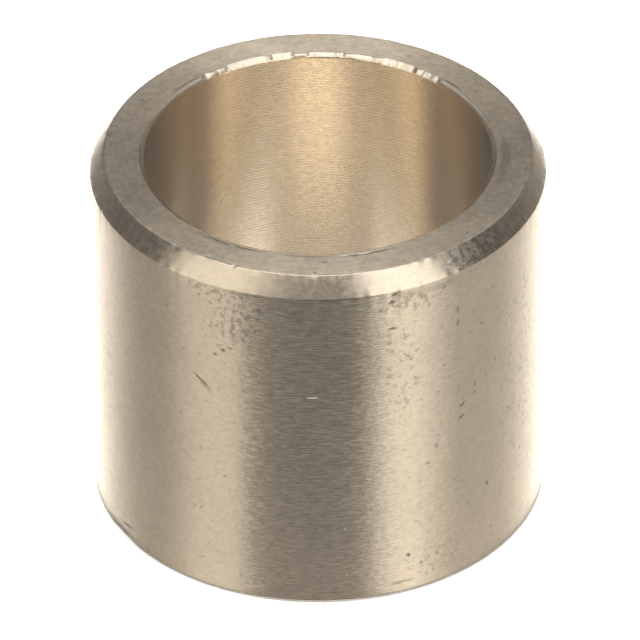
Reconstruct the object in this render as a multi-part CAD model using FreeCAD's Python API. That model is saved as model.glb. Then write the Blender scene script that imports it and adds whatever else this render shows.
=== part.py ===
import FreeCAD, Part
import os

# Plain bronze sleeve bearing, turned all over from one piece of cast bearing bronze.
# Frame: the bore's axis is +Z, and the origin is the centre of the lower end face.
# The lead-in chamfer, which enters the housing first, is at the upper end. Units are millimetres.

INCH = 25.4

# Driving dimensions
bore_diameter = 1.0 * INCH
wall_thickness = 5.0 / 32.0 * INCH
length = 1.125 * INCH
lead_chamfer_width = 1.04        # radial, outer edge of the upper face
lead_chamfer_length = 1.37       # axial
upper_bore_break_width = 0.52    # radial, deburred edge where the bore meets the upper face
upper_bore_break_depth = 0.22    # axial
lower_bore_break_width = 0.40    # radial, the same edge at the lower face
lower_bore_break_depth = 0.22    # axial
lower_edge_break = 0.28          # 45 degree break on the outer edge of the lower face

# Sizes that follow from them
bore_radius = bore_diameter / 2.0
outer_radius = bore_radius + wall_thickness

FULL_TURN = 360.0
BRONZE_DENSITY = 8.93e-3         # grams per cubic millimetre, leaded tin bearing bronze


def sleeve_profile():
    """Corners of the wall's section as (radius, height), anticlockwise from the bore's lower edge."""
    lower_face = [
        (bore_radius + lower_bore_break_width, 0.0),
        (outer_radius - lower_edge_break, 0.0),
    ]
    outer_wall = [
        (outer_radius, lower_edge_break),
        (outer_radius, length - lead_chamfer_length),
    ]
    upper_face = [
        (outer_radius - lead_chamfer_width, length),
        (bore_radius + upper_bore_break_width, length),
    ]
    bore_wall = [
        (bore_radius, length - upper_bore_break_depth),
        (bore_radius, lower_bore_break_depth),
    ]
    return lower_face + outer_wall + upper_face + bore_wall


def revolve(profile):
    """Turn a closed section about the Z axis into one solid."""
    corners = [FreeCAD.Vector(radius, 0.0, height) for radius, height in profile]
    section = Part.Face(Part.makePolygon(corners + corners[:1]))
    return section.revolve(FreeCAD.Vector(0, 0, 0), FreeCAD.Vector(0, 0, 1), FULL_TURN)


def export(node, shape):
    """Check that the shape is one sound solid and write it as the node's STEP file."""
    assert shape.isValid() and len(shape.Solids) == 1, node
    shape.Solids[0].exportStep("parts/" + node + ".step")
    grams = shape.Volume * BRONZE_DENSITY
    print("%s: volume %.1f mm3, mass %.1f g" % (node, shape.Volume, grams))


os.makedirs("parts", exist_ok=True)
export("sleeve_bushing", revolve(sleeve_profile()))
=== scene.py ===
"""Looks of the bronze sleeve bearing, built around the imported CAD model.

The sleeve is one solid of revolution, so its visible mesh is one closed surface turned from the CAD
section, with rounded edges, an uneven scraped bore edge and small nicks. Five finishes share the
bronze: outer wall, lead-in chamfer, end faces, bore and broken edges.
"""
import math
from collections import namedtuple

import bpy
import numpy as np
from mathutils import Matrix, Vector


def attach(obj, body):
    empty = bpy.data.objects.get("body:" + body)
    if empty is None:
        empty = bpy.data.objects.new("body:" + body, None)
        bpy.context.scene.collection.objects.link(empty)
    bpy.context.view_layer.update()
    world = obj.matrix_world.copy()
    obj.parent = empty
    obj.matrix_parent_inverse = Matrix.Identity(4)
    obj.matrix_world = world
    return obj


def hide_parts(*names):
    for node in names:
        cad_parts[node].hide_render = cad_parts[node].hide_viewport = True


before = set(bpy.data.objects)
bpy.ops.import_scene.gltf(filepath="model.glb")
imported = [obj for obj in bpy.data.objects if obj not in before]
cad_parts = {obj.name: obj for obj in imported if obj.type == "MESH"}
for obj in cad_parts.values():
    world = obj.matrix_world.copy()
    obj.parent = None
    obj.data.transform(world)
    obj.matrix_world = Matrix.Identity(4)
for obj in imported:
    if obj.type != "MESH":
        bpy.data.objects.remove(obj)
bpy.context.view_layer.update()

NODE = "sleeve_bushing"
MM = 0.001

# ---------------------------------------------------------------- section, from the CAD node


def cad_section(node):
    """The CAD section's corners as (radius, height) in millimetres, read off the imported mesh."""
    points = np.empty(len(node.data.vertices) * 3)
    node.data.vertices.foreach_get("co", points)
    points = points.reshape(-1, 3) / MM
    radius = np.hypot(points[:, 0], points[:, 1])
    height = points[:, 2]
    near = 0.01
    lower = radius[height < height.min() + near]
    upper = radius[height > height.max() - near]
    outer = height[radius > radius.max() - near]
    bore = height[radius < radius.min() + near]
    return {
        "lower_face": [(lower.min(), height.min()), (lower.max(), height.min())],
        "outer_wall": [(radius.max(), outer.min()), (radius.max(), outer.max())],
        "upper_face": [(upper.max(), height.max()), (upper.min(), height.max())],
        "bore_wall": [(radius.min(), bore.max()), (radius.min(), bore.min())],
    }


section = cad_section(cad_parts[NODE])
OUTER_RADIUS = section["outer_wall"][0][0]
BORE_RADIUS = section["bore_wall"][0][0]
LENGTH = section["upper_face"][0][1]

# ---------------------------------------------------------------- profile, with rounded corners

EDGE_ROUND = 0.07          # radius of every machined corner, mm
ARC_STEPS = 4              # mesh steps round a corner
SUPPORT = 0.05             # distance of the ring that keeps a flat run flat beside its corner, mm
SEGMENTS = 720             # mesh steps round the axis

# name of each straight run, the material slot of its faces, and its mesh step in mm
RUNS = [
    ("lower face", "end_face", 0.8),
    ("lower edge break", "broken_edge", 0.2),
    ("outer wall", "outer_wall", 1.6),
    ("lead chamfer", "lead_chamfer", 0.4),
    ("upper face", "end_face", 0.6),
    ("upper bore break", "broken_edge", 0.09),
    ("bore wall", "bore_wall", 2.2),
    ("lower bore break", "broken_edge", 0.2),
]
UPPER_BORE_BREAK = [run[0] for run in RUNS].index("upper bore break")


def rounded_profile(corners):
    """Points of the closed section with each corner rounded, and the run that each point belongs to.

    Run i joins corner i to corner i + 1. A corner's arc belongs half to the run before it and half
    to the run after it.
    """
    points = []
    runs = []
    count = len(corners)
    for i in range(count):
        here = Vector(corners[i])
        after = Vector(corners[(i + 1) % count])
        beyond = Vector(corners[(i + 2) % count])
        along = (after - here).normalized()
        onward = (beyond - after).normalized()
        arriving = (here - Vector(corners[i - 1])).normalized()
        start = here + along * corner_setback(arriving, along)
        end = after - along * corner_setback(along, onward)
        for step in run_steps((end - start).length, RUNS[i][2]):
            points.append(start + along * step)
            runs.append(i)
        turn = along.angle_signed(onward)
        centre = end + Vector((-along.y, along.x)) * EDGE_ROUND
        for k in range(1, ARC_STEPS):
            angle = -turn * k / ARC_STEPS
            spoke = Vector((along.y, -along.x)) * EDGE_ROUND
            spoke = Vector((
                spoke.x * math.cos(angle) - spoke.y * math.sin(angle),
                spoke.x * math.sin(angle) + spoke.y * math.cos(angle),
            ))
            points.append(centre + spoke)
            runs.append(i if k <= ARC_STEPS // 2 else (i + 1) % count)
    return np.array([(p.x, p.y) for p in points]), np.array(runs)


def corner_setback(arriving, leaving):
    """How far from a corner its rounding starts."""
    return EDGE_ROUND * math.tan(abs(arriving.angle_signed(leaving)) / 2)


def run_steps(length, step):
    """Places along a straight run: both ends, a supporting ring beside each end, and even steps."""
    inner = np.linspace(SUPPORT, length - SUPPORT, max(2, round(length / step) + 1))
    return [0.0, *inner, length]


# ---------------------------------------------------------------- hand work and wear, as real shape

# The bore's upper edge is broken by hand, in strokes of a scraper. A stroke runs from where the one
# before it ends to its own end, a bearing in degrees, and the last one runs past the back to where the
# first begins. The rest is in mm: belly is how far a stroke's middle stands above a flat cut, and
# rough is how uneven it is.
Stroke = namedtuple("Stroke", "end width depth belly rough")
STROKES = [
    Stroke(-172, 0.26, 0.22, 0.10, 0.010),
    Stroke(-165, 0.52, 0.24, 0.02, 0.030),
    Stroke(-163, 0.40, 0.30, 0.10, 0.010),
    Stroke(-149, 0.52, 0.22, 0.00, 0.003),
    Stroke(-142, 0.42, 0.28, 0.07, 0.020),
    Stroke(-140, 0.50, 0.22, 0.00, 0.010),
    Stroke(-96, 0.30, 0.26, 0.05, 0.008),
    Stroke(-38, 0.34, 0.24, 0.03, 0.006),
    Stroke(30, 0.38, 0.26, 0.05, 0.008),
    Stroke(92, 0.32, 0.24, 0.03, 0.006),
    Stroke(136, 0.32, 0.26, 0.06, 0.008),
    Stroke(144, 0.48, 0.24, 0.02, 0.030),
    Stroke(146, 0.36, 0.30, 0.10, 0.005),
    Stroke(158, 0.56, 0.24, 0.00, 0.022),
    Stroke(161, 0.36, 0.32, 0.10, 0.005),
    Stroke(168, 0.44, 0.25, 0.05, 0.006),
    Stroke(171, 0.34, 0.24, 0.10, 0.012),
    Stroke(172.5, 0.48, 0.24, 0.02, 0.010),
    Stroke(173.5, 0.34, 0.24, 0.10, 0.004),
    Stroke(183, 0.40, 0.26, 0.04, 0.004),
]
STROKE_BLEND = 1           # mesh steps over which one stroke runs into the next

CARRIED_FACE = 0.3         # width of the end face that moves with the scraped edge, mm
CHATTER = 1.6              # shortest wave of the scraper's chatter, degrees
TEAR = 2.6                 # shortest wave of the edge's torn outline, degrees

CHAMFER_RIM = OUTER_RADIUS - 1.04    # radius of the chamfer's upper edge
CHAMFER_FOOT = LENGTH - 1.4          # height close by its lower edge

# small nicks in the edges: bearing and half width in degrees, then radius, height, reach and depth
# in mm
Nick = namedtuple("Nick", "bearing half_width radius height reach depth")
NICKS = [
    Nick(-60, 6, OUTER_RADIUS, 0.25, 0.30, 0.10),
    Nick(19, 1.6, OUTER_RADIUS, CHAMFER_FOOT, 0.30, 0.10),
    Nick(-23, 0.8, CHAMFER_RIM, LENGTH, 0.25, 0.08),
    Nick(-1, 1.0, CHAMFER_RIM, LENGTH, 0.22, 0.06),
    Nick(-71, 1.0, OUTER_RADIUS, CHAMFER_FOOT, 0.25, 0.06),
]
NICK_SLANT = 0.7           # share of a nick's depth pressed inward, and the same along the axis
NICK_RAGGED = 0.3          # unevenness of a nick's depth along the edge
NICK_WAVE = 2.0            # shortest wave of that unevenness, degrees
EDGE_WANDER = 0.018        # unevenness of the chamfer's two edges, mm
EDGE_WAVE = 3.0            # shortest wave of that unevenness, degrees
WANDER_REACH = 0.2         # how far from those edges it is felt, mm
SEED = 11                  # seed of the hand work's random waves


def ripple(turn, rng, shortest):
    """Smooth closed noise round the axis, about -1 to 1, with waves down to so many degrees."""
    waves = np.arange(3, int(360 / shortest))
    phase = rng.uniform(0, 2 * math.pi, len(waves))
    total = np.cos(waves[:, None] * turn[None, :] + phase[:, None]).sum(axis=0)
    return total / np.abs(total).max()


def stroke_values(bearing):
    """Width, depth, belly and roughness of the scraped edge at each bearing, in degrees."""
    ends = np.array([stroke.end for stroke in STROKES])
    wrapped = np.where(bearing > ends[-1] - 360, bearing, bearing + 360)
    index = np.searchsorted(ends, wrapped)
    table = np.array([stroke[1:] for stroke in STROKES])[index % len(STROKES)]
    kernel = np.ones(2 * STROKE_BLEND + 1) / (2 * STROKE_BLEND + 1)
    padded = np.concatenate([table[-STROKE_BLEND:], table, table[:STROKE_BLEND]])
    return [np.convolve(padded[:, k], kernel, mode="valid") for k in range(table.shape[1])]


def scrape_bore_edge(radius, height, runs, bearing, turn, rng):
    """Give the upper bore edge its uneven scraped width, depth and cross section."""
    break_rings = np.flatnonzero(runs == UPPER_BORE_BREAK)
    first, last = break_rings[0], break_rings[-1]
    cut_floor = height[last, 0]
    cut_width = radius[first, 0] - radius[last, 0]
    cut_depth = height[first, 0] - height[last, 0]
    width, depth, belly, rough = stroke_values(bearing)
    chatter = ripple(turn, rng, CHATTER)
    torn = ripple(turn, rng, TEAR)
    for ring in break_rings:
        share = (ring - first) / (last - first)
        inward = radius[ring].copy()
        radius[ring] += (width - cut_width) * (1 - share)
        height[ring] += (cut_depth - depth) * share
        height[ring] += belly * math.sin(math.pi * share)
        height[ring] -= rough * (1 + chatter) * math.sin(math.pi * share)
        radius[ring] += rough * torn * (1 - share)
        radius[ring] = np.maximum(radius[ring], np.minimum(inward, BORE_RADIUS))
    face_ring = first - 1
    carried = radius[first, 0] + CARRIED_FACE
    while runs[face_ring] != UPPER_BORE_BREAK and radius[face_ring, 0] < carried:
        radius[face_ring] += width - cut_width
        face_ring -= 1
    for ring in range(last + 1, last + 1 + ARC_STEPS):
        if height[ring, 0] > cut_floor - 2 * SUPPORT - EDGE_ROUND:
            height[ring] += cut_depth - depth


def nick_edges(radius, height, bearing, turn, rng):
    """Press the nicks into the edges and let the chamfer's edges wander a little."""
    for nick in NICKS:
        away = (bearing - nick.bearing) / nick.half_width
        ragged = 1 + NICK_RAGGED * ripple(turn, rng, NICK_WAVE)
        length = np.clip(1 - away ** 2, 0, None) * ragged
        distance = np.hypot(radius - nick.radius, height - nick.height)
        press = nick.depth * length * np.clip(1 - distance / nick.reach, 0, None)
        radius -= press * NICK_SLANT
        height -= press * NICK_SLANT * np.sign(nick.height - LENGTH / 2)
    for edge in (Vector(section["upper_face"][0]), Vector(section["outer_wall"][1])):
        near = np.clip(1 - np.hypot(radius - edge.x, height - edge.y) / WANDER_REACH, 0, None)
        press = near * EDGE_WANDER * (1 + ripple(turn, rng, EDGE_WAVE))
        radius -= press
        height -= press


# ---------------------------------------------------------------- mesh


def turned_mesh(name, corners):
    """One closed mesh of revolution with a material slot per run and an unwrapped UV map."""
    profile, runs = rounded_profile(corners)
    rings = len(profile)
    turn = np.arange(SEGMENTS) * (2 * math.pi / SEGMENTS)
    # turn 0 is at the back, so the UV seam is there
    bearing = np.degrees(turn) - 180
    radius = np.repeat(profile[:, 0][:, None], SEGMENTS, axis=1)
    height = np.repeat(profile[:, 1][:, None], SEGMENTS, axis=1)
    rng = np.random.default_rng(SEED)
    scrape_bore_edge(radius, height, runs, bearing, turn, rng)
    nick_edges(radius, height, bearing, turn, rng)
    x = -radius * np.sin(turn)
    y = radius * np.cos(turn)
    verts = np.stack([x, y, height], axis=-1).reshape(-1, 3) * MM
    ring = np.repeat(np.arange(rings), SEGMENTS)
    seg = np.tile(np.arange(SEGMENTS), rings)
    next_ring = (ring + 1) % rings
    next_seg = (seg + 1) % SEGMENTS
    faces = np.stack([
        ring * SEGMENTS + seg,
        ring * SEGMENTS + next_seg,
        next_ring * SEGMENTS + next_seg,
        next_ring * SEGMENTS + seg,
    ], axis=-1)
    mesh = bpy.data.meshes.new(name)
    mesh.from_pydata(verts.tolist(), [], faces.tolist())
    mesh.polygons.foreach_set("use_smooth", np.ones(len(faces), dtype=bool))
    slots = sorted({run[1] for run in RUNS})
    for slot in slots:
        mesh.materials.append(bpy.data.materials.get(slot))
    slot_of_run = np.array([slots.index(run[1]) for run in RUNS])
    mesh.polygons.foreach_set("material_index", slot_of_run[runs][ring])
    steps = np.linalg.norm(np.roll(profile, -1, axis=0) - profile, axis=1)
    along = np.concatenate([[0.0], np.cumsum(steps)]) / steps.sum()
    uv = np.stack([
        np.stack([seg, seg + 1, seg + 1, seg], axis=-1) / SEGMENTS,
        np.stack([along[ring], along[ring], along[ring + 1], along[ring + 1]], axis=-1),
    ], axis=-1)
    layer = mesh.uv_layers.new(name="OFBake")
    layer.data.foreach_set("uv", uv.reshape(-1))
    mesh.update()
    piece = bpy.data.objects.new(name, mesh)
    bpy.context.collection.objects.link(piece)
    return piece


# ---------------------------------------------------------------- node helpers


class Nodes:
    """Short calls for building a node tree. A value may be a number, a tuple or a socket."""

    def __init__(self, tree):
        self.tree = tree

    def add(self, kind, inputs=(), **settings):
        node = self.tree.nodes.new(kind)
        for key, value in settings.items():
            setattr(node, key, value)
        for key, value in dict(inputs).items():
            self.feed(node.inputs[key], value)
        return node

    def feed(self, socket, value):
        if isinstance(value, bpy.types.NodeSocket):
            self.tree.links.new(value, socket)
        else:
            socket.default_value = value

    def math(self, operation, *values):
        node = self.add("ShaderNodeMath", operation=operation)
        for socket, value in zip(node.inputs, values):
            self.feed(socket, value)
        return node.outputs[0]

    def vector(self, x, y, z):
        return self.add("ShaderNodeCombineXYZ", {"X": x, "Y": y, "Z": z}).outputs[0]

    def scaled(self, vector, amount):
        node = self.add("ShaderNodeVectorMath", {0: vector, "Scale": amount}, operation="SCALE")
        return node.outputs[0]

    def sum(self, *vectors):
        total = vectors[0]
        for vector in vectors[1:]:
            total = self.add("ShaderNodeVectorMath", {0: total, 1: vector}, operation="ADD").outputs[0]
        return total

    def ramp(self, value, low, high, start=0.0, end=1.0):
        """Smooth step from start to end as value goes from low to high."""
        node = self.add("ShaderNodeMapRange", {
            "Value": value, "From Min": low, "From Max": high, "To Min": start, "To Max": end,
        }, interpolation_type="SMOOTHSTEP")
        return node.outputs["Result"]

    def band(self, value, low, high, soft):
        """1 where value lies between low and high, falling smoothly to 0 across soft."""
        rise = self.ramp(value, low - soft / 2, low + soft / 2)
        fall = self.ramp(value, high - soft / 2, high + soft / 2, 1.0, 0.0)
        return self.math("MULTIPLY", rise, fall)

    def swing(self, value, gain, centre=0.5):
        """How far value is from one half, times gain, about a new centre."""
        return self.math("MULTIPLY_ADD", value, gain, centre - 0.5 * gain)

    def noise(self, vector, detail=2.0, rough=0.5):
        """Noise from 0 to 1, mostly near one half."""
        node = self.add("ShaderNodeTexNoise", {
            "Vector": vector, "Scale": 1.0, "Detail": detail, "Roughness": rough,
        })
        return node.outputs["Fac"]

    def mix(self, amount, first, second):
        node = self.add("ShaderNodeMix", data_type="RGBA")
        self.feed(node.inputs[0], amount)
        self.feed(node.inputs[6], first)
        self.feed(node.inputs[7], second)
        return node.outputs[2]


# ---------------------------------------------------------------- bronze, its wear, and some painted light and shade

BRONZE = Vector((0.80, 0.70, 0.54))
# colour of the painted shade down each side of the bore
SIDE_SHADE_COLOUR = (0.71, 0.63, 0.53, 1.0)
# colour of dirt, and of the painted shade along the end face's outer edge
DIRT_AND_SHADE = (0.30, 0.26, 0.20, 1.0)
# colour of raw metal, and of the painted highlights along the end face's outer edge
RAW_METAL_AND_HIGHLIGHT = (1.0, 0.96, 0.88, 1.0)
TONE_RANGE = 0.16          # how far the bronze strays from its middle tone, dull or fresh

Place = namedtuple("Place", "point x y z radius bearing")

# Oval marks: bearing in degrees, place across the grooves in mm, length and width in mm, tilt in
# degrees from the direction of the grooves, and strength from 0 to 1
Mark = namedtuple("Mark", "bearing across length width tilt strength")

# dark dents, scratches and stains
WALL_DENTS = [
    # right of the front, near the top
    Mark(18.5, 26.3, 0.70, 0.36, 10, 1.0), Mark(19.3, 26.95, 0.75, 0.30, 20, 1.0),
    Mark(32.8, 26.4, 0.40, 0.25, 0, 0.7), Mark(18.5, 24.0, 0.70, 0.26, 5, 1.0),
    Mark(21.6, 23.3, 0.25, 0.30, 0, 0.5), Mark(17.8, 22.8, 0.35, 0.35, 0, 0.5),
    Mark(17.4, 22.2, 0.30, 0.20, 0, 0.4), Mark(37.0, 23.9, 0.28, 0.70, 10, 0.45),
    Mark(37.1, 22.8, 0.25, 0.60, -10, 0.6), Mark(45.0, 21.6, 0.40, 0.22, -30, 0.5),
    # right of the front, middle and bottom
    Mark(50.0, 17.7, 0.25, 0.28, 30, 0.6), Mark(42.8, 16.5, 0.22, 0.30, 0, 0.6),
    Mark(42.8, 15.8, 0.22, 0.35, 0, 0.6), Mark(38.6, 15.3, 0.60, 0.22, 25, 0.9),
    Mark(38.4, 14.2, 0.55, 0.18, 20, 0.9), Mark(31.3, 17.3, 0.50, 0.16, 10, 0.4),
    Mark(30.8, 12.5, 0.30, 0.45, -15, 0.6), Mark(28.2, 11.2, 0.40, 0.25, 20, 0.6),
    Mark(57.5, 14.3, 0.80, 0.10, 0, 0.35), Mark(47.3, 6.9, 0.25, 0.55, 15, 0.7),
    Mark(22.9, 3.4, 0.42, 0.30, 0, 1.0), Mark(26.5, 2.4, 0.32, 0.26, 0, 0.9),
    Mark(12.3, 5.3, 0.20, 0.20, 0, 0.5), Mark(29.8, 1.4, 0.25, 0.25, 0, 0.7),
    Mark(21.0, 1.1, 1.80, 0.26, 0, 0.6), Mark(11.0, 9.6, 0.30, 0.20, 0, 0.5),
    # stain and dark line close under the chamfer
    Mark(21.0, 26.75, 4.60, 0.60, 3, 0.35), Mark(31.0, 26.60, 3.60, 0.50, 3, 0.3),
    Mark(7.0, 27.10, 8.00, 0.14, 0, 0.6), Mark(-20.0, 27.05, 5.00, 0.20, 0, 0.4),
    # left of the front
    Mark(-24.5, 21.7, 0.42, 0.34, -20, 0.8), Mark(-26.6, 21.2, 0.32, 0.24, 0, 0.7),
    Mark(-22.5, 22.0, 0.45, 0.20, -20, 0.6), Mark(-21.5, 22.8, 0.70, 0.14, -30, 0.6),
    Mark(-36.1, 20.7, 0.40, 0.20, -10, 0.4), Mark(-24.0, 20.6, 0.30, 0.20, 0, 0.4),
    Mark(-30.6, 18.5, 1.80, 0.22, -34, 0.9), Mark(-29.4, 18.0, 1.30, 0.14, -34, 0.7),
    Mark(-27.6, 23.8, 0.14, 1.20, 5, 0.5), Mark(-24.6, 24.9, 0.50, 0.14, -25, 0.6),
    Mark(-27.8, 25.6, 0.40, 0.20, -20, 0.6), Mark(-19.6, 24.5, 0.14, 0.60, 10, 0.6),
    Mark(-58.0, 1.35, 1.80, 0.24, 5, 0.7), Mark(-63.0, 0.52, 4.20, 0.14, 5, 0.8),
    # sides and back, out of the front view
    Mark(-96, 18.0, 0.9, 0.14, 40, 0.6), Mark(-118, 8.5, 0.4, 0.3, 0, 0.6),
    Mark(104, 21.0, 0.5, 0.2, 20, 0.6), Mark(131, 12.0, 1.4, 0.12, -35, 0.6),
    Mark(158, 22.5, 0.4, 0.3, 0, 0.7), Mark(-152, 15.0, 0.5, 0.25, 15, 0.6),
]
# bright scratches
WALL_RUBS = [
    Mark(-1.6, 18.5, 1.05, 0.17, 2, 1.0), Mark(-31.6, 18.9, 0.5, 0.12, -34, 0.6),
    Mark(-63.0, 0.80, 4.2, 0.26, 5, 1.0),
]
# places where the wall is flecked by handling
WALL_SCUFFS = [
    Mark(-22.0, 24.6, 4.4, 6.0, 0, 1.0), Mark(-25.0, 26.7, 7.0, 1.3, 0, 1.0),
    Mark(23.0, 26.2, 7.0, 2.6, 0, 1.0), Mark(-17.0, 26.0, 2.0, 3.0, 0, 0.8),
    Mark(21.0, 20.0, 3.4, 12.0, 0, 0.6), Mark(30.0, 2.5, 7.0, 3.0, 0, 0.5),
    Mark(62.0, 16.0, 6.0, 20.0, 0, 0.45), Mark(110, 14.0, 9.0, 12.0, 0, 0.6),
    Mark(-140, 9.0, 8.0, 9.0, 0, 0.6),
]
# on an end face, across is the radius
FACE_DENTS = [
    Mark(1.9, 13.97, 0.45, 0.18, 15, 0.9), Mark(-0.9, 15.25, 0.35, 0.25, 0, 0.7),
    Mark(24.0, 15.1, 0.30, 0.15, 0, 0.6), Mark(12.0, 15.0, 0.20, 0.15, 0, 0.5),
    Mark(46.0, 14.9, 0.40, 0.20, 0, 0.5), Mark(86.0, 13.7, 6.50, 0.80, 0, 0.3),
    Mark(-118, 14.6, 0.4, 0.2, 30, 0.5), Mark(152, 14.2, 0.6, 0.15, -20, 0.5),
]
# thin dark lines along the face's two edges; those along the outer edge are painted shade where the
# edge shows no highlight
FACE_DARK_LINES = [
    Mark(-28.5, 13.32, 6.8, 0.20, 0, 0.9), Mark(-31.0, 13.52, 5.0, 0.10, 0, 0.6),
    Mark(15.5, 13.38, 5.4, 0.20, 0, 0.9), Mark(-4.0, 13.30, 5.5, 0.16, 0, 0.6),
    Mark(-27.5, 15.50, 4.0, 0.16, 0, 0.5), Mark(3.0, 15.55, 5.0, 0.09, 0, 0.5),
    Mark(132.0, 13.25, 2.6, 0.16, 0, 0.9), Mark(-132.0, 13.20, 3.4, 0.14, 0, 0.7),
]
# thin bright lines and chips along them; the lines along the outer edge are painted highlights of that
# edge
FACE_BRIGHT_MARKS = [
    Mark(-27.5, 13.38, 0.9, 0.12, 0, 0.8), Mark(8.0, 13.29, 0.9, 0.14, 0, 1.0),
    Mark(14.5, 13.29, 1.4, 0.12, 0, 1.0), Mark(-34.0, 15.58, 1.3, 0.12, 0, 0.7),
    Mark(-28.0, 15.58, 1.5, 0.12, 0, 0.8), Mark(-23.0, 15.55, 0.35, 0.25, 0, 1.0),
    Mark(-14.0, 15.60, 1.7, 0.08, 0, 0.9), Mark(-5.8, 15.60, 1.3, 0.08, 0, 0.9),
    Mark(12.0, 15.60, 2.9, 0.08, 0, 0.8),
]
# knocked and stained patches
CHAMFER_SCUFFS = [
    Mark(40.8, 27.9, 3.6, 1.8, 0, 1.0), Mark(48.5, 27.9, 3.4, 1.7, 0, 0.8),
    Mark(-46.0, 27.7, 2.2, 1.4, 0, 0.35), Mark(2.0, 27.9, 4.0, 1.6, 0, 0.2),
    Mark(98, 27.9, 5.0, 1.6, 0, 0.5),
]


def bronze(name, finish):
    """A metal material whose colour, gloss and bump come from finish(nodes, place, shader)."""
    material = bpy.data.materials.new(name)
    material.use_nodes = True
    n = Nodes(material.node_tree)
    shader = material.node_tree.nodes["Principled BSDF"]
    shader.inputs["Metallic"].default_value = 1.0
    finish(n, surface_place(n), shader)
    return material


def surface_place(n):
    """Where a point of the surface is, in millimetres, and its bearing from the front in degrees."""
    coords = n.add("ShaderNodeTexCoord").outputs["Object"]
    point = n.scaled(coords, 1 / MM)
    x, y, z = n.add("ShaderNodeSeparateXYZ", {0: point}).outputs
    radius = n.math("SQRT", n.math("ADD", n.math("MULTIPLY", x, x), n.math("MULTIPLY", y, y)))
    bearing = n.math("DEGREES", n.math("ARCTAN2", x, n.math("MULTIPLY", y, -1.0)))
    return Place(point, x, y, z, radius, bearing)


def streaks(n, place, across, run, pitch, detail=2.0):
    """Noise in fine lines round the axis: run is how long they are, pitch how far apart, in mm."""
    vector = n.vector(
        n.math("DIVIDE", place.x, run),
        n.math("DIVIDE", place.y, run),
        n.math("DIVIDE", across, pitch),
    )
    return n.noise(vector, detail)


WALL_PITCH = 0.21          # feed of the turning tool, mm
BORE_PITCH = 0.24          # feed of the boring tool, mm


def tool_lines(n, place, pitch, wander, wander_size):
    """Regular lines left by a tool's feed, -1 to 1, that wander up and down a little (mm)."""
    wave = n.noise(n.scaled(place.point, 1 / wander_size), 2.0)
    phase = n.math("MULTIPLY_ADD", wave, wander, place.z)
    return n.math("SINE", n.math("MULTIPLY", phase, 2 * math.pi / pitch))


def mottle(n, place, size, detail=3.0, rough=0.6):
    """Cloudy noise with patches of about the given size in mm."""
    return n.noise(n.scaled(place.point, 1 / size), detail, rough)


def specks(n, place, spacing, size, share):
    """Tiny spots scattered at random, about spacing apart and size across in mm."""
    cell = n.add("ShaderNodeTexVoronoi", {"Vector": n.scaled(place.point, 1 / spacing), "Scale": 1.0})
    near = n.ramp(cell.outputs["Distance"], 0.25 * size / spacing, 0.5 * size / spacing, 1.0, 0.0)
    lot = n.add("ShaderNodeSeparateColor", {0: cell.outputs["Color"]}).outputs[0]
    return n.math("MULTIPLY", near, n.math("LESS_THAN", lot, share))


def marks(n, place, across, table, edge=(0.6, 1.3), ragged=0.12):
    """Strength of the strongest of the table's oval marks, with ragged outlines."""
    arc = n.math("MULTIPLY", place.bearing, math.radians(1) * OUTER_RADIUS)
    wobble = n.add("ShaderNodeTexNoise", {"Vector": place.point, "Scale": 3.5, "Detail": 2.0})
    offset = n.add("ShaderNodeVectorMath", {0: wobble.outputs["Color"], 1: (0.5, 0.5, 0.5)},
                   operation="SUBTRACT").outputs[0]
    unrolled = n.sum(n.vector(arc, across, 0.0), n.scaled(offset, ragged))
    flat = n.add("ShaderNodeVectorMath", {0: unrolled, 1: (1.0, 1.0, 0.0)},
                 operation="MULTIPLY").outputs[0]
    total = None
    for mark in table:
        local = n.add("ShaderNodeMapping", {
            "Vector": flat,
            "Location": (math.radians(mark.bearing) * OUTER_RADIUS, mark.across, 0.0),
            "Rotation": (0.0, 0.0, math.radians(mark.tilt)),
            "Scale": (mark.length / 2, mark.width / 2, 1.0),
        }, vector_type="TEXTURE").outputs[0]
        size = n.add("ShaderNodeVectorMath", {0: local}, operation="LENGTH").outputs["Value"]
        shape = n.ramp(size, edge[0], edge[1], mark.strength, 0.0)
        total = shape if total is None else n.math("MAXIMUM", total, shape)
    return total


def flecks(n, place, zone, size, low, high):
    """Small irregular flecks that are dense where zone is high and rare where it is 0."""
    grain = mottle(n, place, size, 3.0, 0.65)
    return n.ramp(n.math("MULTIPLY_ADD", zone, 0.16, grain), low, high)


def bronze_colour(n, tone, dirt, raw=None):
    """Bronze between dull and fresh, with dirt in its pits, raw metal where it is rubbed, and the end
    face's painted edge shade and highlights.
    """
    dull = (*(BRONZE * (1 - TONE_RANGE)), 1.0)
    fresh = (*(BRONZE * (1 + TONE_RANGE)), 1.0)
    colour = n.mix(tone, dull, fresh)
    colour = n.mix(dirt, colour, DIRT_AND_SHADE)
    if raw is not None:
        colour = n.mix(raw, colour, RAW_METAL_AND_HIGHLIGHT)
    return colour


def grooved(n, shader, height, rough, spread):
    """Bump from a height in mm, and gloss that grooves round the axis stretch across themselves."""
    bump = n.add("ShaderNodeBump", {"Height": height, "Distance": MM, "Strength": 1.0})
    n.feed(shader.inputs["Normal"], bump.outputs["Normal"])
    tangent = n.add("ShaderNodeTangent", direction_type="RADIAL", axis="Z")
    n.feed(shader.inputs["Tangent"], tangent.outputs[0])
    shader.inputs["Anisotropic"].default_value = spread
    shader.inputs["Anisotropic Rotation"].default_value = 0.25
    n.feed(shader.inputs["Roughness"], rough)


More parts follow.
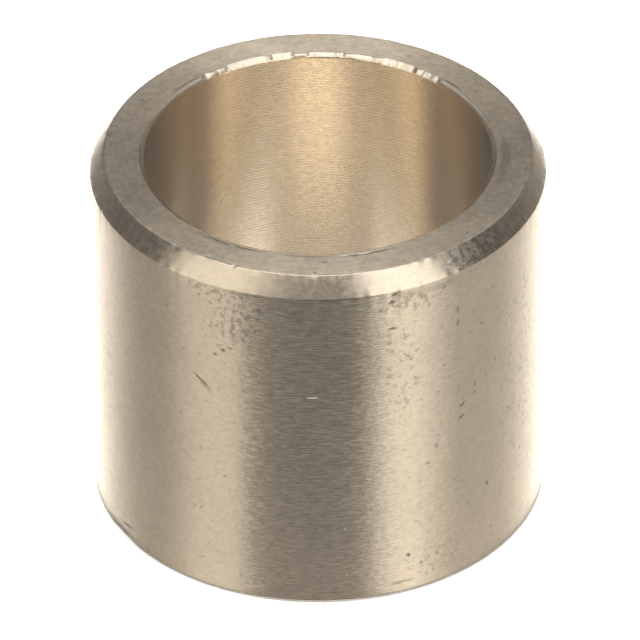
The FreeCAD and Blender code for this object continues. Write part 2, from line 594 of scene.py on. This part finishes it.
def outer_wall(n, place, shader):
    """Turned wall: fine tool lines, painted as glints at the front and fainter on the flanks, with
    flecks, pits and a few dents.
    """
    lines = streaks(n, place, place.z, 0.65, 0.10, 1.0)
    turned = tool_lines(n, place, WALL_PITCH, 0.05, 0.7)
    # painted glints: the tool lines' colour is at full strength at the front and fades on the flanks,
    # by bearing from the front
    flank_band = n.band(n.math("ABSOLUTE", place.bearing), 20, 105, 10)
    cloud = mottle(n, place, 0.45)
    broad = mottle(n, place, 5.0, 2.0)
    dents = marks(n, place, place.z, WALL_DENTS, (0.35, 1.5), 0.3)
    rubs = marks(n, place, place.z, WALL_RUBS, (0.7, 1.1), 0.05)
    scuffed = marks(n, place, place.z, WALL_SCUFFS, (0.4, 1.2), 0.8)
    scuffs = flecks(n, place, scuffed, 0.40, 0.60, 0.78)
    pits = specks(n, place, 1.8, 0.20, 0.35)
    glint_gain = n.math("MULTIPLY_ADD", flank_band, -0.7, 1.0)
    turning = n.math("MULTIPLY_ADD", turned, 0.38, n.swing(lines, 2.4, 0.0))
    tone = n.math("MULTIPLY_ADD", turning, glint_gain, n.swing(cloud, 1.0))
    tone = n.math("ADD", tone, n.swing(broad, 0.6, 0.0))
    dirt = n.math("MAXIMUM", dents, n.math("MULTIPLY", scuffs, 0.62))
    dirt = n.math("MAXIMUM", dirt, n.math("MULTIPLY", pits, 0.6))
    n.feed(shader.inputs["Base Color"], bronze_colour(n, tone, dirt, rubs))
    rough = n.ramp(lines, 0.50, 0.70, 0.29, 0.38)
    rough = n.math("MAXIMUM", rough, n.math("MULTIPLY", dirt, 0.6))
    rough = n.math("MAXIMUM", rough, n.math("MULTIPLY", rubs, 0.95))
    height = n.math("MULTIPLY", lines, 0.012)
    height = n.math("MULTIPLY_ADD", cloud, 0.010, height)
    height = n.math("MULTIPLY_ADD", pits, -0.02, height)
    grooved(n, shader, height, rough, 0.9)


def lead_chamfer(n, place, shader):
    """Smoother cut cone, with a knocked and flecked patch and faint stains."""
    lines = streaks(n, place, place.z, 0.8, 0.12)
    cloud = mottle(n, place, 0.5)
    scuffed = marks(n, place, place.z, CHAMFER_SCUFFS, (0.7, 1.15), 0.4)
    knocks = streaks(n, place, place.z, 0.42, 0.30, 2.5)
    scuffs = flecks(n, place, scuffed, 0.30, 0.60, 0.72)
    tone = n.math("ADD", n.swing(lines, 0.7), n.swing(cloud, 1.0, 0.0))
    dirt = n.math("MULTIPLY", scuffed, n.ramp(knocks, 0.40, 0.54, 0.7, 0.0))
    dirt = n.math("MAXIMUM", dirt, n.math("MULTIPLY", scuffs, 0.35))
    knocked = n.math("MULTIPLY", scuffed, n.ramp(knocks, 0.54, 0.68, 0.0, 0.5))
    n.feed(shader.inputs["Base Color"], bronze_colour(n, tone, dirt, knocked))
    height = n.math("MULTIPLY", lines, 0.002)
    height = n.math("MULTIPLY_ADD", n.math("MULTIPLY", scuffed, knocks), 0.012, height)
    height = n.math("MULTIPLY_ADD", cloud, 0.002, height)
    rough = n.ramp(cloud, 0.4, 0.65, 0.24, 0.30)
    rough = n.math("MAXIMUM", rough, n.math("MULTIPLY", scuffed, 0.38))
    grooved(n, shader, height, rough, 0.6)


def end_face(n, place, shader):
    """Faced end, dished a little by its bump, with concentric lines, stains, rubbed chips, and painted
    shade and highlights along its outer edge.
    """
    lines = streaks(n, place, place.radius, 1.2, 0.14)
    cloud = mottle(n, place, 0.5)
    broad = mottle(n, place, 3.0, 2.0)
    dents = marks(n, place, place.radius, FACE_DENTS)
    pits = specks(n, place, 1.4, 0.18, 0.5)
    tone = n.math("ADD", n.swing(lines, 1.2), n.swing(cloud, 1.7, 0.0))
    tone = n.math("ADD", tone, n.swing(broad, 1.5, 0.0))
    # dark lines along both edges of the face; those on the outer edge are painted shade
    stains = marks(n, place, place.radius, FACE_DARK_LINES, (0.5, 1.3), 0.14)
    # rubbed chips, and painted highlights along the outer edge
    rubs = marks(n, place, place.radius, FACE_BRIGHT_MARKS, (0.7, 1.2), 0.14)
    dirt = n.math("MAXIMUM", n.math("MAXIMUM", dents, stains), n.math("MULTIPLY", pits, 0.4))
    n.feed(shader.inputs["Base Color"], bronze_colour(n, tone, dirt, rubs))
    height = n.math("MULTIPLY", place.radius, 0.085)
    height = n.math("MULTIPLY_ADD", lines, 0.004, height)
    height = n.math("MULTIPLY_ADD", cloud, 0.010, height)
    height = n.math("MULTIPLY_ADD", pits, -0.02, height)
    rough = n.math("MULTIPLY_ADD", rubs, 0.5, 0.42)
    grooved(n, shader, height, rough, 0.8)


def bore_wall(n, place, shader):
    """Bored wall: close wavy feed lines, tiny torn specks, and painted shade with painted light beside
    it down each side.
    """
    feed_lines = tool_lines(n, place, BORE_PITCH, 0.20, 0.35)
    torn = streaks(n, place, place.z, 0.45, 0.10, 1.5)
    cloud = mottle(n, place, 0.5)
    shown = n.ramp(mottle(n, place, 2.5, 2.0), 0.4, 0.6, 0.3, 1.0)
    specked = specks(n, place, 1.5, 0.16, 0.6)
    pits = specks(n, place, 2.2, 0.18, 0.4)
    tone = n.math("ADD", n.swing(torn, 1.1), n.swing(cloud, 0.6, 0.0))
    side = n.math("ABSOLUTE", place.bearing)
    # painted shade: a darker, greyer band down each side of the bore, by bearing from the front
    side_shade = n.math("MULTIPLY", n.ramp(side, 96, 122, 0.1, 1.0), n.ramp(side, 132, 144, 1.0, 0.0))
    side_shade = n.math("MULTIPLY", side_shade, n.ramp(side, 70, 90))
    # painted light: a lighter strip beside the painted shade on each side of the bore
    tone = n.math("MULTIPLY_ADD", n.band(side, 88, 106, 14), 1.2, tone)
    tone = n.math("MULTIPLY_ADD", n.math("MULTIPLY", feed_lines, shown), 0.20, tone)
    colour = bronze_colour(n, tone, n.math("MULTIPLY", pits, 0.5), n.math("MULTIPLY", specked, 0.5))
    n.feed(shader.inputs["Base Color"], n.mix(side_shade, colour, SIDE_SHADE_COLOUR))
    height = n.math("MULTIPLY", n.math("MULTIPLY", feed_lines, shown), 0.0019)
    height = n.math("MULTIPLY_ADD", torn, 0.008, height)
    height = n.math("MULTIPLY_ADD", specked, 0.02, height)
    shader.inputs["Metallic"].default_value = 0.95
    shader.inputs["Specular Tint"].default_value = (0.6, 0.75, 1.0, 1.0)
    grooved(n, shader, height, 0.26, 0.94)


def broken_edge(n, place, shader):
    """Scraped or filed edges, brighter and smoother than the turned ones."""
    cloud = mottle(n, place, 0.35)
    tone = n.swing(cloud, 1.2, 0.6)
    dirt = n.ramp(mottle(n, place, 0.5), 0.6, 0.72, 0.0, 0.5)
    n.feed(shader.inputs["Base Color"], bronze_colour(n, tone, dirt))
    height = n.math("MULTIPLY", cloud, 0.02)
    grooved(n, shader, height, 0.22, 0.0)


# ---------------------------------------------------------------- studio

# Light in a light tent, by direction. Bearing is in degrees from the camera's side, positive to its
# right; elevation is in degrees above the horizon. Blur is the width of a panel's soft edges.
Panel = namedtuple("Panel", "bearing elevation light bearing_blur elevation_blur")
WARM = Vector((1.06, 1.0, 0.92))
NEUTRAL = Vector((1.02, 1.0, 1.0))
COOL = Vector((1.03, 1.0, 1.06))
AMBIENT = 0.13 * COOL
BELOW = (-120, -8)         # elevations of the panels below the horizon
ABOVE = (-8, 62)           # elevations of those round and above it
PANELS = [
    # the table and its sweep, below the horizon
    Panel((-37, 31), BELOW, 0.045 * COOL, (12, 26), (10, 16)),
    Panel((-73, -38.5), BELOW, 0.55 * WARM, (16, 12), (10, 16)),
    Panel((33, 60), BELOW, 0.86 * WARM, (26, 28), (10, 16)),
    Panel((66, 200), BELOW, 0.365 * WARM, (30, 10), (10, 16)),
    Panel((-200, -75), BELOW, 0.225 * WARM, (14, 10), (10, 16)),
    # softboxes left and right of the camera, and the room behind it
    Panel((-28, 15), ABOVE, 0.17 * WARM, (20, 20), (16, 14)),
    Panel((-75, -29), ABOVE, 0.87 * WARM, (16, 30), (16, 14)),
    Panel((23, 64), ABOVE, 1.30 * NEUTRAL, (14, 9), (16, 14)),
    # the pale room behind the object, and the softbox overhead
    Panel((110, 200), (33, 120), 0.33 * NEUTRAL, (60, 10), (20, 10)),
    Panel((-200, -110), (33, 120), 0.31 * NEUTRAL, (10, 60), (20, 10)),
    Panel((120, 150), (-6, 22), 0.09 * WARM, (20, 14), (10, 14)),
    Panel((-150, -122), (-6, 22), 0.06 * WARM, (14, 20), (10, 14)),
    Panel((-200, 200), (62, 120), 1.15 * NEUTRAL, (10, 10), (28, 10)),
]
# the bright sweep behind the object, either side of straight back
REAR = [
    Panel((137, 300), (-120, -20), 1.96 * NEUTRAL, (70, 10), (10, 18)),
    Panel((150, 300), (-120, -20), 0.5 * WARM, (14, 10), (10, 18)),
]
BACKDROP = (1.0, 1.0, 1.0, 1.0)


def panel_mask(n, bearing, elevation, panel):
    """How much of a panel is seen in a direction, from 0 to 1."""
    edges = []
    for value, limits, blur in (
        (bearing, panel.bearing, panel.bearing_blur),
        (elevation, panel.elevation, panel.elevation_blur),
    ):
        edges.append(n.ramp(value, limits[0] - blur[0] / 2, limits[0] + blur[0] / 2))
        edges.append(n.ramp(value, limits[1] - blur[1] / 2, limits[1] + blur[1] / 2, 1.0, 0.0))
    mask = edges[0]
    for edge in edges[1:]:
        mask = n.math("MULTIPLY", mask, edge)
    return mask


def studio_world():
    """Soft light panels all round the object, and a plain pale backdrop for the camera."""
    world = bpy.data.worlds.new("studio")
    world.use_nodes = True
    bpy.context.scene.world = world
    n = Nodes(world.node_tree)
    direction = n.add("ShaderNodeTexCoord").outputs["Generated"]
    x, y, z = n.add("ShaderNodeSeparateXYZ", {0: direction}).outputs
    bearing = n.math("DEGREES", n.math("ARCTAN2", x, n.math("MULTIPLY", y, -1.0)))
    elevation = n.math("DEGREES", n.math("ARCSINE", z))
    either_side = n.math("ABSOLUTE", bearing)
    lit = [n.scaled(panel.light, panel_mask(n, bearing, elevation, panel)) for panel in PANELS]
    lit += [n.scaled(panel.light, panel_mask(n, either_side, elevation, panel)) for panel in REAR]
    seen = n.add("ShaderNodeLightPath").outputs["Is Camera Ray"]
    background = world.node_tree.nodes["Background"]
    n.feed(background.inputs["Color"], n.mix(seen, n.sum(AMBIENT, *lit), BACKDROP))
    background.inputs["Strength"].default_value = 1.0


def flat_piece(name, outline, material):
    """A flat stage piece with the given outline, in metres."""
    mesh = bpy.data.meshes.new(name)
    mesh.from_pydata(outline, [], [range(len(outline))])
    mesh.materials.append(material)
    piece = bpy.data.objects.new(name, mesh)
    bpy.context.collection.objects.link(piece)
    return piece


FLOOR_HALF = 3.0           # half the floor's side, metres


def studio_floor():
    """A plain pale floor. Reflections in the metal see the panels, not the floor."""
    material = bpy.data.materials.new("pale_floor")
    material.use_nodes = True
    shader = material.node_tree.nodes["Principled BSDF"]
    shader.inputs["Base Color"].default_value = (0.85, 0.85, 0.85, 1.0)
    shader.inputs["Roughness"].default_value = 1.0
    shader.inputs["Specular IOR Level"].default_value = 0.0
    corner_signs = [(-1, -1), (1, -1), (1, 1), (-1, 1)]
    outline = [(x * FLOOR_HALF, y * FLOOR_HALF, 0) for x, y in corner_signs]
    floor = flat_piece("floor", outline, material)
    floor.visible_glossy = False
    floor.visible_shadow = False


# what the metal reflects of the lit floor: under the bore and round the foot, the two radii in mm
# between which a glow fades and its strength; under the wall, the radii of the shade and its strength
BORE_GLOW = (7.5, 11.0, 0.38)
FOOT_GLOW = (17.0, 42.0, 0.09)
FOOT_SHADE = (13.2, 16.9, 0.16)
GLOW_RADIUS = 45.0         # mm
GLOW_HEIGHT = 0.00005      # metres above the floor
GLOW_COLOUR = (1.0, 0.91, 0.82, 1.0)
WHITE = (1.0, 1.0, 1.0, 1.0)
BLACK = (0.0, 0.0, 0.0, 1.0)


def floor_glow():
    """The lit floor under the bore and round the foot and its shade under the wall, in reflections."""
    material = bpy.data.materials.new("floor_glow")
    material.use_nodes = True
    nodes = material.node_tree.nodes
    nodes.remove(nodes["Principled BSDF"])
    n = Nodes(material.node_tree)
    radius = surface_place(n).radius
    under_bore = n.ramp(radius, BORE_GLOW[0], BORE_GLOW[1], BORE_GLOW[2], 0.0)
    outside = n.math("GREATER_THAN", radius, OUTER_RADIUS - 0.5)
    round_foot = n.ramp(radius, FOOT_GLOW[0], FOOT_GLOW[1], FOOT_GLOW[2], 0.0)
    strength = n.math("MULTIPLY_ADD", outside, round_foot, under_bore)
    shaded = n.band(radius, FOOT_SHADE[0], FOOT_SHADE[1], 0.2)
    strength = n.math("MULTIPLY_ADD", shaded, FOOT_SHADE[2], strength)
    light = n.add("ShaderNodeEmission", {"Color": GLOW_COLOUR, "Strength": strength})
    clear = n.add("ShaderNodeBsdfTransparent", {"Color": n.mix(shaded, WHITE, BLACK)})
    both = n.add("ShaderNodeAddShader", {0: clear.outputs[0], 1: light.outputs[0]})
    n.feed(nodes["Material Output"].inputs["Surface"], both.outputs[0])
    turns = np.linspace(0, 2 * math.pi, 64, endpoint=False)
    reach = GLOW_RADIUS * MM
    outline = [(reach * math.cos(turn), reach * math.sin(turn), GLOW_HEIGHT) for turn in turns]
    glow = flat_piece("floor_glow", outline, material)
    glow.visible_camera = False
    glow.visible_diffuse = False
    glow.visible_shadow = False


def floor_wash():
    """An even overhead light that lifts the floor and leaves the metal's reflections alone."""
    lamp = bpy.data.lights.new("floor_wash", "SUN")
    lamp.energy = 6.0
    lamp.angle = math.radians(90)
    wash = bpy.data.objects.new("floor_wash", lamp)
    wash.location = (0.0, 0.0, 1.0)
    wash.visible_glossy = False
    wash.visible_camera = False
    bpy.context.collection.objects.link(wash)


CAMERA_DISTANCE = 0.742    # metres
CAMERA_ELEVATION = 35.37   # degrees
CAMERA_ROLL = 0.24         # degrees
CAMERA_LENS = 566.0        # mm, on a sensor 36 mm wide
AIM = Vector((0.0001, 0.0, 0.475 * LENGTH * MM))


def camera():
    """A far camera in front of the sleeve, looking down at it."""
    elevation = math.radians(CAMERA_ELEVATION)
    data = bpy.data.cameras.new("camera")
    data.lens = CAMERA_LENS
    data.sensor_width = 36.0
    data.clip_start = 0.05
    data.clip_end = 20.0
    eye = bpy.data.objects.new("camera", data)
    eye.location = AIM + CAMERA_DISTANCE * Vector((0.0, -math.cos(elevation), math.sin(elevation)))
    look = (AIM - eye.location).to_track_quat("-Z", "Y")
    eye.rotation_euler = look.to_euler()
    eye.rotation_euler.rotate_axis("Z", math.radians(-CAMERA_ROLL))
    bpy.context.collection.objects.link(eye)
    bpy.context.scene.camera = eye


# ---------------------------------------------------------------- assembly

for finish in (outer_wall, lead_chamfer, end_face, bore_wall, broken_edge):
    bronze(finish.__name__, finish)

corners = section["lower_face"] + section["outer_wall"] + section["upper_face"] + section["bore_wall"]
sleeve = turned_mesh("bronze_sleeve", corners)
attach(sleeve, "root")
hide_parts(NODE)

studio_world()
studio_floor()
floor_glow()
floor_wash()
camera()
bpy.context.scene.view_settings.view_transform = "Standard"
